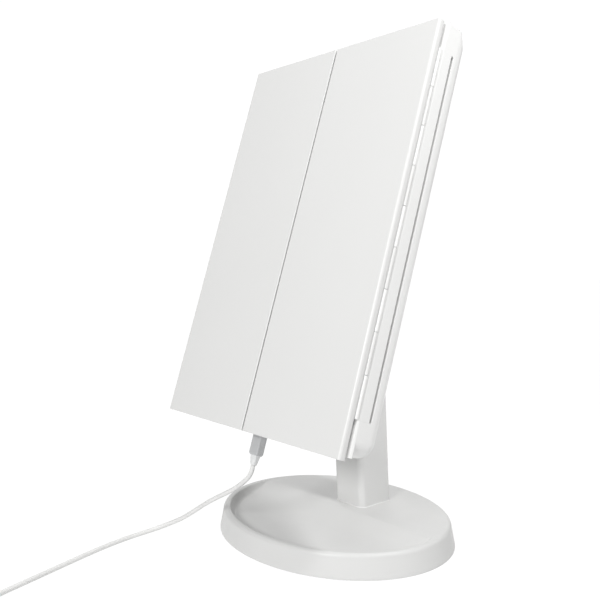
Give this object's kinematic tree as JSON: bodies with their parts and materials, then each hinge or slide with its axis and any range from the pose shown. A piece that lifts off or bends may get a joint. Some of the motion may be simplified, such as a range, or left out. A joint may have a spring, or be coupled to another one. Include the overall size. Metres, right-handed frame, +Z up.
{
  "type": "trifold vanity mirror",
  "caption": "Free-standing lighted make-up mirror with folding side wings, shown closed, on a tilting column over an oval tray base, with its USB cable plugged in",
  "frame": {"origin": "centre of the oval base's resting face, on the table", "axes": "+Z up, the closed wings face -Y and lean back, +X to the viewer's right when facing them"},
  "size_m": [0.1843, 0.388, 0.3335],
  "materials": {
    "gloss_white": "glossy moulded ABS",
    "satin_white": "satin moulded ABS",
    "cable_white": "smooth flexible PVC",
    "opal": "milky diffusing acrylic",
    "mirror": "silvered glass",
    "foam": "thin foam adhesive sheet",
    "pad_grey": "matt non-slip foam rubber",
    "steel": "plated",
    "ballast": "plain sheet",
    "circuit": "green solder mask",
    "led": "clear over yellow phosphor",
    "switch_grey": "satin",
    "switch_black": "matt",
    "lead": "flat ribbon",
    "cell": "plain printed sleeve"
  },
  "bodies": {
    "stand": {"base_shell": "gloss_white", "base_plate": "satin_white", "ballast_plate": "ballast", "base_pad": "pad_grey", "base_screws": "steel", "column": "gloss_white", "column_screws": "steel", "cable_run": "cable_white", "cable_coil": "cable_white", "usb_a_body": "cable_white", "usb_a_shell": "steel"},
    "head": {"tilt_bracket": "gloss_white", "bracket_screws": "steel", "tilt_pin": "steel", "tilt_washers": "steel", "rear_case": "gloss_white", "front_frame": "gloss_white", "case_screws": "steel", "centre_mirror": "mirror", "left_diffuser": "opal", "right_diffuser": "opal", "left_light_board": "circuit", "right_light_board": "circuit", "leds": "led", "light_leads": "lead", "control_board": "circuit", "touch_pad": "steel", "usb_socket": "steel", "switch_body": "switch_black", "battery_contacts": "steel", "battery_cells": "cell", "left_hinge_strip": "gloss_white", "right_hinge_strip": "gloss_white", "left_hinge_pin": "steel", "right_hinge_pin": "steel", "plug_tip": "steel", "plug_body": "cable_white", "plug_relief": "cable_white"},
    "left_wing": {"left_wing_shell": "gloss_white", "left_wing_pad": "foam", "left_wing_upper_mirror": "mirror", "left_wing_lower_mirror": "mirror"},
    "right_wing": {"right_wing_shell": "gloss_white", "right_wing_pad": "foam", "right_wing_mirror": "mirror"},
    "battery_cover": {"battery_door": "gloss_white"},
    "power_switch": {"switch_knob": "switch_grey"}
  },
  "joints": [
    {"name": "head_tilt", "type": "hinge", "parent": "stand", "child": "head", "pos_m": [0, 0.0098, 0.2], "axis": [-1, 0, 0], "range_deg": [-20, 22], "deforming": ["cable_run"]},
    {"name": "left_wing_hinge", "type": "hinge", "parent": "head", "child": "left_wing", "pos_m": [-0.0881, -0.03269, 0.20644], "axis": [0, -0.309, -0.9511], "range_deg": [0, 135]},
    {"name": "right_wing_hinge", "type": "hinge", "parent": "head", "child": "right_wing", "pos_m": [0.0881, -0.03269, 0.20644], "axis": [0, 0.309, 0.9511], "range_deg": [0, 135]},
    {"name": "battery_door_lift", "type": "slide", "parent": "head", "child": "battery_cover", "axis": [0, 0.9511, -0.309], "range_m": [0, 0.03]},
    {"name": "power_switch_slide", "type": "slide", "parent": "head", "child": "power_switch", "axis": [1, 0, 0], "range_m": [0, 0.003]}
  ]
}
